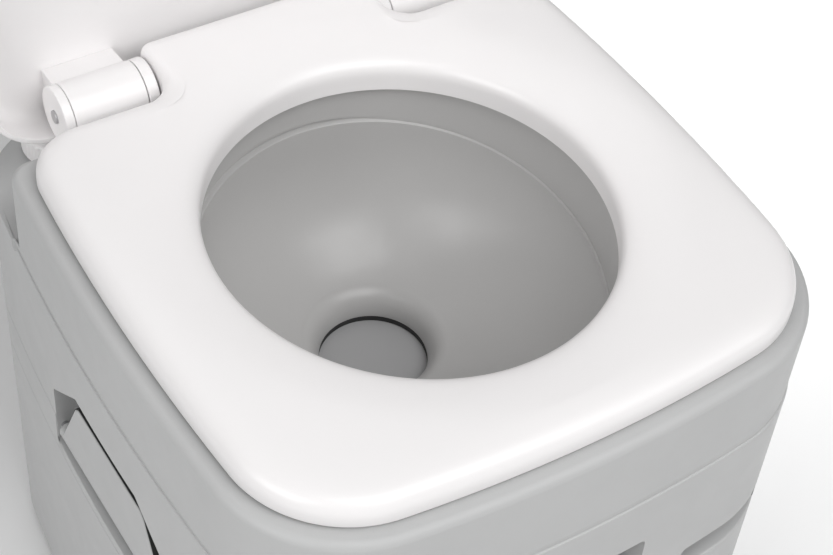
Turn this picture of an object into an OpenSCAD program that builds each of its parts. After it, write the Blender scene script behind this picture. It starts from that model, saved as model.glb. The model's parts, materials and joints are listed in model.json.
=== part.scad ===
// Portable cassette toilet: a flush-water tank with bowl, seat and lid that stands on a
// detachable waste tank. Millimetres. X to the right seen from the front, Y to the rear, Z up.
// The origin is on the floor under the middle of the body. Seat down, lid standing open.

/* [Body] */
// Half of the body's width at its widest, above the moulded step
body_half_w = 181.9; // [181:0.1:184]
// Distance from the origin to the front of the body
body_front = 207.3; // [206:0.1:210]
// Distance from the origin to the back of the body
body_rear = 207.5; // [206:0.1:210]
// Radius of the body's front corners, seen from above
front_corner_r = 77.7; // [74:0.1:82]
// Radius of the body's rear corners, seen from above
rear_corner_r = 60; // [56:1:66]
// Height of the body's rim
rim_top = 378; // [376:0.5:379]
// Height of the lowered deck behind the seat
deck_top = 318; // [314:1:318]
// Height at which the lower moulding stands out
step_z = 319; // [319:1:322]
// How far the lower moulding stands out
step_out = 1; // [0.6:0.1:1.4]
// Height of the parting line between the two tanks
part_z = 222; // [222:0.5:223]
// Wall thickness of the tanks
wall = 3; // [2.4:0.1:3.4]

/* [Seat and lid] */
// How far the seat's edge lies inside the body's edge
seat_inset = 9.9; // [9:0.1:12]
// Half of the width of the hole in the seat
hole_half_w = 113; // [110:0.5:115]
// Half of the length of the hole in the seat
hole_half_l = 118; // [115:0.5:119]
// Middle of the hole in the seat, along Y
hole_y = -23.5; // [-25:0.5:-22]
// Height of the seat's lower edge
seat_z = 380; // [380:0.5:381]
// Height of the seat's crown above its lower edge
seat_h = 17; // [15:0.5:18]
// Half of the width of the seat's rear tab
tab_half_w = 73.4; // [72:0.1:74]
// Back edge of the rear tab, along Y
tab_rear = 162.6; // [160:0.1:163]
// Front edge of the hinge notches, along Y
notch_front = 115.2; // [114:0.1:116]
// Hinge axis, along Y
hinge_y = 146; // [146:0.5:147]
// Height of the hinge axis
hinge_z = 374; // [373:0.5:374.5]
// How far the lid stands open, in degrees
lid_open = 98; // [96:1:100]

/* [Bowl and valve] */
// Radius of the bowl's throat
throat_r = 33; // [32:0.5:34]
// Middle of the throat, along Y
throat_y = 2; // [0:0.5:4]
// Height of the throat's lower edge
throat_z = 240; // [240:0.5:240.5]
// Height of the ledge between the bowl's collar and its dish, on the left
ledge_z = 344; // [341:1:346]
// Half width of the bowl's collar
collar_half_w = 119; // [118:0.5:120]
// Half length of the bowl's collar
collar_half_l = 124; // [123:0.5:124.5]

/* [Hidden] */
$fn = 64;
body_grey = [0.72, 0.73, 0.73];
bowl_grey = [0.66, 0.66, 0.66];
seat_white = [0.95, 0.94, 0.94];
valve_grey = [0.62, 0.62, 0.62];
rubber_black = [0.05, 0.05, 0.05];
steel = [0.75, 0.75, 0.76];
clear = [0.85, 0.92, 0.95];
mid_y = -17.4;                  // where the body and the seat are widest
side_r = 1374;                  // radius of the bowed sides
front_r = 954;                  // radius of the bowed front
back_r = 3000;                  // radius of the nearly flat back
foot_h = 6;
foot_r = 14;
foot_x = 118;
foot_y = 140;
tub_top = 190;                  // joint between the waste tank's tub and its top
gap = 0.3;                      // clearance between pieces that move apart
fit = 0.05;                     // radial clearance of a pin in its bore
block_back = 118;               // back wall of the raised part of the flush tank

// Points on an arc, without its first point
function arc(c, r, a, b, n) = [for (i = [1 : n]) c + r * [cos(a + (b - a) * i / n), sin(a + (b - a) * i / n)]];
// The point that lies r1 from c1 and r2 from c2, on the right of the way from c1 to c2
function meet(c1, r1, c2, r2) = let (d = norm(c2 - c1), u = (c2 - c1) / d,
    a = (r1 * r1 - r2 * r2 + d * d) / (2 * d)) c1 + a * u + sqrt(r1 * r1 - a * a) * [-u.y, u.x];
function heading(v) = atan2(v.y, v.x);
// A closed outline from its right half, which runs from front to back
function both_halves(h) = concat(h, [for (i = [len(h) - 2 : -1 : 1]) [-h[i].x, h[i].y]]);

// Right half of the body's outline: five arcs that flow into each other
function body_half(off) = let (
    cf = [0, front_r - body_front], cs = [body_half_w - side_r, mid_y], cr = [0, body_rear - back_r],
    kf = meet(cf, front_r - front_corner_r, cs, side_r - front_corner_r),
    kr = meet(cs, side_r - rear_corner_r, cr, back_r - rear_corner_r),
    a1 = heading(kf - cf), a2 = heading(kf - cs), a3 = heading(kr - cs), a4 = heading(kr - cr))
    concat([[0, -body_front - off]],
        arc(cf, front_r + off, -90, a1, 5), arc(kf, front_corner_r + off, a1, a2, 10),
        arc(cs, side_r + off, a2, a3, 10), arc(kr, rear_corner_r + off, a3, a4, 9),
        arc(cr, back_r + off, a4, 90, 2));
function body_outline(off) = both_halves(body_half(off));

// Right half of the seat's outline, with the hinge notch and the tab
notch_corner_r = 30;
notch_fillet_r = 19.1;
tab_corner_r = 6;
function seat_half() = let (off = -seat_inset,
    cf = [0, front_r - body_front], cs = [body_half_w - side_r, mid_y],
    kf = meet(cf, front_r - front_corner_r, cs, side_r - front_corner_r),
    ky = notch_front - notch_corner_r, reach = side_r + off - notch_corner_r,
    kn = [cs.x + sqrt(reach * reach - (ky - mid_y) * (ky - mid_y)), ky],
    a1 = heading(kf - cf), a2 = heading(kf - cs), a3 = heading(kn - cs))
    concat([[0, -body_front - off]],
        arc(cf, front_r + off, -90, a1, 5), arc(kf, front_corner_r + off, a1, a2, 10),
        arc(cs, side_r + off, a2, a3, 9), arc(kn, notch_corner_r, a3, 90, 6), [[113, notch_front]],
        [[tab_half_w + notch_fillet_r, notch_front]],
        arc([tab_half_w + notch_fillet_r, notch_front + notch_fillet_r], notch_fillet_r, 270, 180, 6),
        arc([tab_half_w - tab_corner_r, tab_rear - tab_corner_r], tab_corner_r, 0, 90, 4),
        [[36, tab_rear], [0, tab_rear]]);

// Point on an oval round the hole's middle, in the direction of p
function oval(p, a, b) = let (d = p - [0, hole_y], t = heading(d), s = cos(t) / a, q = sin(t) / b)
    [0, hole_y] + [cos(t), sin(t)] / sqrt(s * s + q * q);
function at_z(p, z) = [p.x, p.y, z];

// A ring of rings, closed both ways
module torus_skin(rings) {
    n = len(rings[0]);
    m = len(rings);
    polyhedron([for (r = rings) each r],
        [for (j = [0 : m - 1], i = [0 : n - 1], t = [0, 1]) let (k = (j + 1) % m, l = (i + 1) % n)
            t == 0 ? [j * n + i, k * n + i, j * n + l] : [j * n + l, k * n + i, k * n + l]]);
}
// A stack of rings with a flat face at each end
module capped_skin(rings) {
    n = len(rings[0]);
    m = len(rings);
    polyhedron([for (r = rings) each r],
        concat([[for (i = [0 : n - 1]) i]], [[for (i = [n - 1 : -1 : 0]) (m - 1) * n + i]],
        [for (j = [0 : m - 2], i = [0 : n - 1], t = [0, 1]) let (k = j + 1, l = (i + 1) % n)
            t == 0 ? [j * n + i, k * n + i, j * n + l] : [j * n + l, k * n + i, k * n + l]]));
}
module slab(off, z0, z1) translate([0, 0, z0]) linear_extrude(z1 - z0) polygon(body_outline(off));
module box(lo, hi) translate(lo) cube(hi - lo);
module tube(r_out, r_in, h) difference() {
    cylinder(h, r = r_out);
    translate([0, 0, -1]) cylinder(h + 2, r = r_in);
}
module along_y(p, r, len) translate(p) rotate([-90, 0, 0]) cylinder(len, r = r);
module along_x(p, r, len) translate(p) rotate([0, 90, 0]) cylinder(len, r = r);
module both_sides() {
    children();
    mirror([1, 0, 0]) children();
}

// ---- Waste tank ----

bay_lo = [-150, 154, 118];      // bay for the spout in the back of the tank
bay_hi = [62, 230, 180];
spout_p = [-110, 183];          // swivel axis of the spout
spout_z = 149;                  // height of the spout's arm
neck_r = 22;
handle_half = 70;               // bay for the carrying handle in the front of the tank
handle_bay_y = -187;
pivot_y = -198;
pivot_z = 122;
lens_p = [-85, 150];            // level window: X and Z
lens_r = 11;
latch_y = [-90, 66];            // front and back of the latch recess
latch_px = 175;                 // latch pivot: X and Z
latch_pz = 209;
latch_pin_r = 2.5;
module spout_bay(g) box(bay_lo - g * [1, 1, 1], bay_hi + g * [1, 1, 1]);
module handle_bay(g) box([-handle_half - g, -240, 62 - g], [handle_half + g, handle_bay_y + g, 134 + g]);
module latch_recess(g) box([latch_px - 7 - g, latch_y[0] - g, 198 - g], [240, latch_y[1] + g, 260]);

module tank_tub() color(body_grey) difference() {
    slab(step_out, foot_h, tub_top);
    difference() {
        slab(step_out - wall, foot_h + wall, tub_top + 1);
        spout_bay(wall);
        handle_bay(wall);
    }
    spout_bay(0);
    handle_bay(0);
    translate([spout_p.x, spout_p.y, 100]) cylinder(30, r = neck_r + 3.7);
    along_y([lens_p.x, -230, lens_p.y], lens_r, 60);
    for (s = [-1, 1]) along_x([s * 71.5 - 5, pivot_y, pivot_z], 3, 10);
}
module tank_top() color(body_grey) difference() {
    slab(step_out, tub_top, part_z);
    difference() {
        slab(step_out - wall, tub_top - 1, part_z - wall);
        both_sides() latch_recess(wall);
    }
    both_sides() latch_recess(0);
    both_sides() along_y([latch_px, -110, latch_pz], latch_pin_r, 200);
    translate([0, throat_y, tub_top]) cylinder(60, r = throat_r + 3);
    translate([vent_p.x, vent_p.y, tub_top]) cylinder(60, r = 8.2);
    for (x = [-1, 1], y = screw_ys) translate([x * screw_x, y, tub_top]) cylinder(60, r = 1.6);
}
feet = [[0, 0], for (x = [-1, 1], y = [-1, 1]) [x * foot_x, y * foot_y]];
module tank_feet() color(rubber_black) for (p = feet)
    translate([p.x, p.y, 0]) {
        cylinder(foot_h - 2, r = foot_r);
        translate([0, 0, foot_h - 2]) cylinder(2, r = foot_r - 2);
    }

// ---- Slide valve ----

floor_z = 231.3;                // what the blade slides on
blade_z = [231.6, 235.5];
cover_z = [235.8, 238.8];
channel = 40.3;                 // half width of the blade's channel
rail = 46;                      // half width of the housing
screw_x = 43.3;
screw_ys = [-110, -60, -10];
module valve_housing() color(valve_grey) difference() {
    union() {
        box([-rail, -186, part_z], [rail, throat_y, cover_z[0]]);
        translate([0, throat_y, part_z]) cylinder(cover_z[0] - part_z, r = rail);
        translate([0, throat_y, 206]) cylinder(20, r = throat_r + 2.8);
    }
    box([-channel, -190, floor_z], [channel, throat_y, 240]);
    translate([0, throat_y, floor_z]) cylinder(10, r = channel);
    translate([0, throat_y, 200]) cylinder(40, r = throat_r);
    for (x = [-1, 1], y = screw_ys) translate([x * screw_x, y, part_z - 1]) cylinder(20, r = 1.6);
}
module valve_cover() color(valve_grey) difference() {
    union() {
        box([-rail, -125, cover_z[0]], [rail, throat_y, cover_z[1]]);
        translate([0, throat_y, cover_z[0]]) cylinder(cover_z[1] - cover_z[0], r = rail);
    }
    translate([0, throat_y, 230]) cylinder(20, r = 41.1);
    for (x = [-1, 1], y = screw_ys) translate([x * screw_x, y, 230]) cylinder(20, r = 1.6);
}
module valve_seal() color(rubber_black) translate([0, throat_y, cover_z[0]])
    tube(41, throat_r, throat_z - gap - cover_z[0]);
module valve_screws() color(steel) for (x = [-1, 1], y = screw_ys) translate([x * screw_x, y, 0]) {
    translate([0, 0, 214]) cylinder(cover_z[1] - 214, r = 1.5);
    translate([0, 0, cover_z[1]]) cylinder(1.6, r = 2.6);
}
module valve_blade() color(body_grey) {
    translate([0, throat_y, blade_z[0]]) cylinder(blade_z[1] - blade_z[0], r = 39);
    box([-30, -190, blade_z[0]], [30, throat_y, blade_z[1]]);
}
module pull_grip() color(seat_white) difference() {
    box([-36, -205, 224.5], [36, -190, 243]);
    box([-27, -200.5, 224], [27, -193.5, 244]);
}

// ---- Pouring spout: a swivelling elbow with a screw cap ----

arm_r = 20;
arm_end = 18;                   // X of the end of the arm
module spout_neck() color(valve_grey) translate([spout_p.x, spout_p.y, 0]) {
    translate([0, 0, 107]) tube(neck_r + 3.5, neck_r, 14);
    translate([0, 0, bay_lo.z]) tube(neck_r + 6, neck_r + 3.4, 3);
}
module spout() color(seat_white) difference() {
    union() {
        translate([spout_p.x, spout_p.y, 109]) cylinder(spout_z - 109, r = neck_r - fit);
        translate([spout_p.x, spout_p.y, 121.4]) cylinder(6, r = neck_r + 2);
        translate([spout_p.x, spout_p.y, spout_z]) sphere(neck_r - fit);
        along_x([spout_p.x, spout_p.y, spout_z], arm_r, arm_end - spout_p.x);
    }
    translate([spout_p.x, spout_p.y, 100]) cylinder(spout_z - 100, r = arm_r - 3);
    translate([spout_p.x, spout_p.y, spout_z]) sphere(arm_r - 3);
    along_x([spout_p.x, spout_p.y, spout_z], arm_r - 3, 200);
    translate([spout_p.x, spout_p.y, 112]) tube(neck_r + 1, 20.2, 2.4);
}
module spout_oring() color(rubber_black) translate([spout_p.x, spout_p.y, 112]) tube(neck_r - 0.02, 20.2, 2.4);
module spout_gasket() color(rubber_black)
    translate([arm_end + gap, spout_p.y, spout_z]) rotate([0, 90, 0]) tube(arm_r, arm_r - 4, 1.5);
module spout_cap() color(rubber_black) difference() {
    along_x([4, spout_p.y, spout_z], 23.5, 20);
    along_x([3, spout_p.y, spout_z], arm_r + 0.5, arm_end - 3 + 2 * gap + 1.5);
}

// ---- Vent button ----

vent_p = [120, 150];
vent_head = 234;
module vent_bush() color(valve_grey) translate([vent_p.x, vent_p.y, 0]) {
    translate([0, 0, 215]) tube(8, 5, 11);
    translate([0, 0, part_z]) tube(11, 7.9, 2);
}
module vent_button() color(rubber_black) translate([vent_p.x, vent_p.y, 0]) {
    translate([0, 0, 203]) cylinder(vent_head - 203, r = 5 - fit);
    translate([0, 0, vent_head]) cylinder(3, r = 9);
    translate([0, 0, 203]) cylinder(3, r = 8.5);
}
module vent_oring() color(rubber_black) translate([vent_p.x, vent_p.y, 206]) tube(7.5, 5, 2);
module vent_spring() color(steel) translate([vent_p.x, vent_p.y, 226]) tube(7.5, 5.6, vent_head - 226);

// ---- Level gauge of the waste tank ----

ball_z = 70;
module level_lens() color(clear) {
    along_y([lens_p.x, -206, lens_p.y], lens_r - 0.05, 16);
}
module float_bracket() color(valve_grey) {
    along_y([lens_p.x, -190, lens_p.y], lens_r - 1, 3);
    along_y([lens_p.x, -187, lens_p.y], 2, 16);
}
module float_arm() color(seat_white) difference() {
    union() {
        along_y([lens_p.x, -180, lens_p.y], 5, 5);
        box([lens_p.x - 2, -179, ball_z + 12], [lens_p.x + 2, -176, lens_p.y]);
    }
    along_y([lens_p.x, -181, lens_p.y], 2 + fit, 10);
}
module float_ball() color([0.85, 0.2, 0.15]) translate([lens_p.x, -177.5, ball_z]) rotate([90, 0, 0])
    translate([0, 0, -8]) cylinder(14, r = 12);

// ---- Carrying handle ----

bail_z = 78;
module carry_handle() color(seat_white) difference() {
    union() {
        both_sides() {
            along_x([57, pivot_y, pivot_z], 7, 9);
            box([58, pivot_y - 4, bail_z], [65, pivot_y + 4, pivot_z]);
        }
        along_x([-65, pivot_y, bail_z], 7, 130);
    }
    both_sides() along_x([56, pivot_y, pivot_z], 3 + fit, 12);
}
module handle_pins() color(steel) both_sides() along_x([57.5, pivot_y, pivot_z], 3, 15.2);

// ---- Side latches: levers on the waste tank that hook over keepers on the flush tank ----

nose_z = 255;
flank = [2, 5];                 // the slanted catch runs this far across and down
lever_y = [-86, 62];            // knuckle's ends
function lever_face() = [[lever_y[0] + 6, 212], [lever_y[0] + 20.7, 242.5], [lever_y[0] + 30.3, 262.5],
    [lever_y[0] + 34.5, 266.5], [lever_y[1] - 34.5, 266.5], [lever_y[1] - 30.3, 262.5],
    [lever_y[1] - 20.7, 242.5], [lever_y[1] - 6, 212]];
module latch() difference() {
    union() {
        along_y([latch_px, lever_y[0], latch_pz], 5.5, lever_y[1] - lever_y[0]);
        translate([177, 0, 0]) rotate([90, 0, 90]) linear_extrude(4) polygon(lever_face());
        translate([0, 18, 0]) rotate([90, 0, 0]) linear_extrude(60)
            polygon([[168.4, nose_z + 0.2], [168.4 + flank[0], nose_z + 0.2 - flank[1]],
                [177, nose_z - flank[1] - 4], [177, nose_z + 8], [168.4, nose_z + 8]]);
    }
    along_y([latch_px, lever_y[0] - 1, latch_pz], latch_pin_r + fit, lever_y[1] - lever_y[0] + 2);
}
module latch_right() color(body_grey) latch();
module latch_left() color(body_grey) mirror([1, 0, 0]) latch();
module latch_pins() color(steel) both_sides()
    along_y([latch_px, latch_y[0] - wall, latch_pz], latch_pin_r, latch_y[1] - latch_y[0] + 2 * wall);

// ---- Flush tank ----

grip_half = 44;                 // recess over the valve's grip
grip_top = 280;
grip_back = -172;
pocket_back = 158.5;            // X of the back of the latch pockets
floor_plate = [243, 246];       // the flush tank's floor
module grip_recess(g) box([-grip_half - g, -240, 200], [grip_half + g, grip_back + g, grip_top + g]);
function pocket_face(g) = [[latch_y[0] + 2 - g, 200], [latch_y[0] + 2 - g, 247 + g], [-50, 279 + g],
    [26, 279 + g], [latch_y[1] - 2 + g, 247 + g], [latch_y[1] - 2 + g, 200]];
module latch_pocket(g) translate([pocket_back - g, 0, 0]) rotate([90, 0, 90])
    linear_extrude(60) polygon(pocket_face(g));
module hand_notch() both_sides() box([78, -240, 200], [150, -150, 242.5]);
module in_front() intersection() {
    children();
    box([-300, -300, 0], [300, block_back, 500]);
}
module oval_hole(a, b, z0, z1) translate([0, hole_y, z0]) linear_extrude(z1 - z0)
    polygon([for (i = [0 : 71]) [a * cos(5 * i), b * sin(5 * i)]]);

module upper_shell() color(body_grey) difference() {
    union() {
        slab(step_out, part_z + gap, deck_top);
        in_front() slab(step_out, deck_top - 1, step_z);
        in_front() slab(0, step_z, rim_top);
    }
    difference() {
        union() {
            slab(step_out - wall, 200, deck_top - wall);
            intersection() {
                slab(-wall, deck_top - wall - 1, rim_top - wall);
                box([-300, -300, 0], [300, block_back - wall, 500]);
            }
        }
        intersection() {
            grip_recess(wall);
            box([-300, -300, throat_z + 0.5], [300, 300, 400]);
        }
        both_sides() latch_pocket(wall);
    }
    grip_recess(0);
    both_sides() latch_pocket(0);
    hand_notch();
    oval_hole(collar_half_w, collar_half_l, rim_top - wall - 1, rim_top + 1);
    translate([pump_p.x, pump_p.y, deck_top - 10]) cylinder(20, r = 21.7);
    translate([-pump_p.x, pump_p.y, deck_top - 10]) cylinder(20, r = 21);
    box(gauge_lo, gauge_hi);
    for (p = foot_screws) translate([p.x, p.y, deck_top - 10]) cylinder(20, r = 1.6);
}
module base_plate() color(valve_grey) difference() {
    translate([0, 0, floor_plate[0]]) linear_extrude(floor_plate[1] - floor_plate[0])
        polygon(body_outline(step_out - wall - 0.2));
    grip_recess(wall + 0.2);
    both_sides() latch_pocket(wall + 0.2);
    translate([0, throat_y, 200]) cylinder(100, r = throat_r + 4.4);
}

// The bowl's inside: half width, half length, middle along Y, for a height
function ease(t) = t * t * (3 - 2 * t);
ledge_w = 1.5;
flare_z = 257;                  // where the dish turns into the throat's flare
flare_r = 46;
ring_n = 60;
ring_step = 360 / ring_n;
function ring(a, b, y, z) = [for (i = [0 : ring_n - 1]) let (t = i * ring_step)
    [a * cos(t), y + b * sin(t), z]];
// How far the ledge has come down: it starts left of the rear and falls clockwise, seen from
// above, down to the front right, and climbs back along the front
fall_from = 100;
fall_turn = 145;
fall = 39;
climb_turn = 135;
function ledge_fall(a) = let (b = (360 + fall_from - a) % 360)
    b < fall_turn ? fall * pow(b / fall_turn, 2) :
    b < fall_turn + climb_turn ? fall * (1 - ease((b - fall_turn) / climb_turn)) : 0;
function lowered(r, share) = [for (i = [0 : ring_n - 1]) r[i] - [0, 0, share * ledge_fall(i * ring_step)]];
function dish_ring(i, n, g) = let (t = i / n, f = pow(sin(90 * t), 0.8), m = ease(t),
    r = flare_r + (collar_half_w - ledge_w - flare_r) * f + g,
    l = flare_r + (collar_half_l - ledge_w - flare_r) * f + g)
    lowered(ring(r, l, throat_y + (hole_y - throat_y) * m, flare_z + (ledge_z - flare_z) * t), t);
function flare_ring(i, n, g) = let (t = i / n, r = throat_r + (flare_r - throat_r) * (1 - cos(90 * t)))
    ring(r + g, r + g, throat_y, throat_z + (flare_z - throat_z) * sin(90 * t));
module bowl() color(bowl_grey) difference() {
    torus_skin(concat(
        [ring(collar_half_w, collar_half_l, hole_y, rim_top - wall)],
        [lowered(ring(collar_half_w, collar_half_l, hole_y, ledge_z + 1.5), 1)],
        [for (i = [10 : -1 : 1]) dish_ring(i, 10, 0)],
        [for (i = [5 : -1 : 0]) flare_ring(i, 5, 0)],
        [for (i = [0 : 5]) flare_ring(i, 5, 3)],
        [for (i = [1 : 10]) dish_ring(i, 10, 3)],
        [lowered(ring(collar_half_w + 3, collar_half_l + 3, hole_y, ledge_z + 1.5), 1)],
        [ring(collar_half_w + 3, collar_half_l + 3, hole_y, rim_top - wall - 3)],
        [ring(collar_half_w + 9, collar_half_l + 9, hole_y, rim_top - wall - 3)],
        [ring(collar_half_w + 9, collar_half_l + 9, hole_y, rim_top - wall)]));
    nozzle_axis() cylinder(40, r = 5.2, center = true);
}
nozzle_z = 362;
nozzle_a = 168;                 // direction of the spray nozzle, seen from above
module nozzle_axis() translate(at_z(oval([cos(nozzle_a), hole_y + sin(nozzle_a)], collar_half_w + 1.5,
    collar_half_l + 1.5), nozzle_z)) rotate([0, 90, nozzle_a]) children();
module spray_nozzle() color(seat_white) nozzle_axis() difference() {
    union() {
        translate([0, 0, -5]) cylinder(15, r = 5.1);
        translate([0, 0, 2.5]) cylinder(2, r = 8);
    }
    translate([0, 0, -10]) cylinder(30, r = 2.5);
}
module latch_keepers() color(rubber_black) both_sides() translate([0, 16, 0]) rotate([90, 0, 0])
    linear_extrude(56) polygon([[pocket_back, nose_z - 9], [170, nose_z - 9], [170, nose_z - flank[1]],
        [170 - flank[0], nose_z], [pocket_back, nose_z]]);

// ---- Hinges ----

pin_r = 4;
knuckle_r = 18;
inner_cheek = [74.8, 81.6];
outer_cheek = [127.2, 133];
foot_screws = [for (s = [-1, 1], x = [87, 120]) [s * x, 139]];
module cheek(x) {
    along_x([x[0], hinge_y, hinge_z], knuckle_r, x[1] - x[0]);
    box([x[0], hinge_y - knuckle_r, deck_top], [x[1], hinge_y, hinge_z]);
}
module hinge_brackets() color(seat_white) both_sides() difference() {
    union() {
        cheek(inner_cheek);
        cheek(outer_cheek);
        box([inner_cheek[0], hinge_y - knuckle_r, deck_top], [outer_cheek[1], hinge_y, deck_top + 3]);
    }
    along_x([60, hinge_y, hinge_z], pin_r, 90);
    for (p = foot_screws) translate([abs(p.x), p.y, deck_top - 1]) cylinder(6, r = 1.6);
}
module hinge_pins() color(steel) both_sides() along_x([52, hinge_y, hinge_z], pin_r, 82);
module bracket_screws() color(steel) for (p = foot_screws) translate([p.x, p.y, 0]) {
    translate([0, 0, deck_top - 8]) cylinder(11, r = 1.5);
    translate([0, 0, deck_top + 3]) cylinder(2, r = 3.2);
}

// ---- Piston flush pump ----

pump_p = [118, 180];
knob_r = 18;
well_floor = 290;
stroke = 26;
knob_top = 343;
piston_z = [277.5, 284];
module pump_body() color(valve_grey) translate([pump_p.x, pump_p.y, 0]) difference() {
    union() {
        translate([0, 0, well_floor - 3]) cylinder(deck_top - well_floor + 3, r = 21.5);
        translate([0, 0, deck_top]) cylinder(2, r = 24);
        translate([0, 0, 248]) cylinder(well_floor - 248, r = 17);
    }
    translate([0, 0, well_floor]) cylinder(60, r = knob_r + 1);
    translate([0, 0, 250]) cylinder(well_floor - 3 - 250, r = 14);
    translate([0, 0, 240]) cylinder(60, r = pin_r + fit);
}
module foot_valve() color(rubber_black) translate([pump_p.x, pump_p.y, 246.3]) cylinder(1.4, r = 9);
module pump_knob() color(seat_white) translate([pump_p.x, pump_p.y, 0]) difference() {
    translate([0, 0, deck_top + 1]) cylinder(knob_top - deck_top - 1, r = knob_r);
    translate([0, 0, deck_top]) cylinder(knob_top - deck_top - 4, r = knob_r - 3);
}
module pump_rod() color(steel) translate([pump_p.x, pump_p.y, piston_z[1]])
    cylinder(knob_top - 4 - piston_z[1], r = pin_r);
module pump_piston() color(seat_white) translate([pump_p.x, pump_p.y, piston_z[0]]) difference() {
    cylinder(piston_z[1] - piston_z[0], r = 13.6);
    translate([0, 0, 2]) tube(15, 11.5, 2.4);
}
module piston_seal() color(rubber_black)
    translate([pump_p.x, pump_p.y, piston_z[0] + 2]) tube(14 - fit, 11.5, 2.4);
module pump_spring() color(steel) translate([pump_p.x, pump_p.y, well_floor])
    tube(11, 8.5, knob_top - 4 - well_floor);

// Point on the smooth curve through the points p, t segments along it
function on_curve(p, t) = let (n = len(p) - 1, i = min(floor(t), n - 1), u = t - i,
    a = p[max(i - 1, 0)], b = p[i], c = p[i + 1], d = p[min(i + 2, n)])
    b + u / 2 * (c - a) + u * u * (a - 2.5 * b + 2 * c - d / 2) + u * u * u * (1.5 * (b - c) + (d - a) / 2);
hose_r = 4;
hose_pts = [[100.6, 180, 262], [84, 176, 262], [60, 150, 276], [20, 122, 296], [-6, 109.2, 320],
    [-40, 108.5, 346], [-74, 105, 358], [-108, 94, 361], [-135, 74, 362], [-149, 46, 362],
    [-149, 22, 362], [-141, 8.5, 362], [-127.8, 3.7, 362]];
module flush_hose() color(rubber_black) {
    rings_per_step = 3;
    last = (len(hose_pts) - 1) * rings_per_step;
    curve = [for (i = [0 : last]) on_curve(hose_pts, i / rings_per_step)];
    capped_skin([for (i = [0 : last]) let (v = curve[min(i + 1, last)] - curve[max(i - 1, 0)],
        f = v / norm(v), s = cross(f, [0, 0, 1]) / norm(cross(f, [0, 0, 1])), u = cross(s, f))
        [for (k = [0 : 9]) curve[i] + hose_r * (cos(36 * k) * s + sin(36 * k) * u)]]);
}

// ---- Flush water filler ----

module filler_neck() color(valve_grey) translate([-pump_p.x, pump_p.y, 0]) {
    translate([0, 0, 306]) tube(20.5, 15, 20);
    translate([0, 0, deck_top]) tube(22.5, 20.4, 1.4);
}
cap_lid_z = 327.8;              // underside of the filler cap's top
module filler_gasket() color(rubber_black) translate([-pump_p.x, pump_p.y, 326 + gap]) tube(20, 15.5, 1.2);
module filler_cap() color(seat_white) translate([-pump_p.x, pump_p.y, 0]) difference() {
    translate([0, 0, deck_top + 2]) cylinder(15, r = 23.5);
    translate([0, 0, deck_top]) cylinder(cap_lid_z - deck_top, r = 21);
}
gauge_lo = [-66, 190, 250];     // slot for the water gauge in the back of the flush tank
gauge_hi = [-54, 230, 306];
module water_gauge() color(clear) intersection() {
    box(gauge_lo + [0.1, 0, 0.1], gauge_hi - [0.1, 0, 0.1]);
    difference() {
        slab(step_out, 240, 316);
        slab(step_out - wall, 239, 317);
    }
}

// ---- Seat ----

// The seat's section: side it is measured from (0 hole, 1 edge), distance from it, height
seat_section = [[0, 0, -8.8], [0, 0, 3], [0, 1.5, 7.5], [0, 6, 10.5], [0, 18, 13.6], [0, 34, 16.4],
    [1, 16, seat_h], [1, 7, seat_h - 1.4], [1, 2, seat_h - 5], [1, 0, seat_h - 10], [1, 0, 0],
    [0, 4.5, 0], [0, 2.6, -8.8]];
module seat() color(seat_white) {
    edge = both_halves(seat_half());
    torus_skin([for (s = seat_section) [for (p = edge) let (q = oval(p, hole_half_w, hole_half_l),
        u = (p - q) / norm(p - q)) at_z(s[0] == 0 ? q + s[1] * u : p - s[1] * u, seat_z + s[2])]]);
}
module seat_hinges() color(seat_white) both_sides() difference() {
    union() {
        along_x([54, hinge_y, hinge_z], 10, 18);
        box([54, hinge_y - 10, hinge_z], [72, hinge_y + 10, seat_z]);
    }
    along_x([50, hinge_y, hinge_z], pin_r + fit, 30);
}
module seat_buffers() color(rubber_black) for (x = [-1, 1], y = [-135, 70])
    translate([x * 138, y, rim_top + gap]) cylinder(seat_z - rim_top - gap, r = 7);

// ---- Lid, drawn closed and then swung open ----

lid_top = 410;
lid_inset = 3;                  // how far the lid's edge lies inside the body's edge
lid_rear = 170.5;
function lid_half(off) = let (
    cf = [0, front_r - body_front], cs = [body_half_w - side_r, mid_y], cr = [0, lid_rear - back_r],
    kf = meet(cf, front_r - front_corner_r, cs, side_r - front_corner_r),
    kr = meet(cs, side_r - lid_inset - 40, cr, back_r - 40),
    a1 = heading(kf - cf), a2 = heading(kf - cs), a3 = heading(kr - cs), a4 = heading(kr - cr))
    concat([[0, -body_front + lid_inset - off]],
        arc(cf, front_r - lid_inset + off, -90, a1, 5), arc(kf, front_corner_r - lid_inset + off, a1, a2, 10),
        arc(cs, side_r - lid_inset + off, a2, a3, 10), arc(kr, 40 + off, a3, a4, 8),
        arc(cr, back_r + off, a4, 90, 2));
function lid_ring(off, k, z) = [for (p = both_halves(lid_half(off)))
    [p.x * k, mid_y + (p.y - mid_y) * k, z]];
module swung_open() translate([0, hinge_y, hinge_z]) rotate([-lid_open, 0, 0])
    translate([0, -hinge_y, -hinge_z]) children();
tab_room = [76, 388.5];          // half width and top of the gap that the seat's tab swings through
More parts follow.
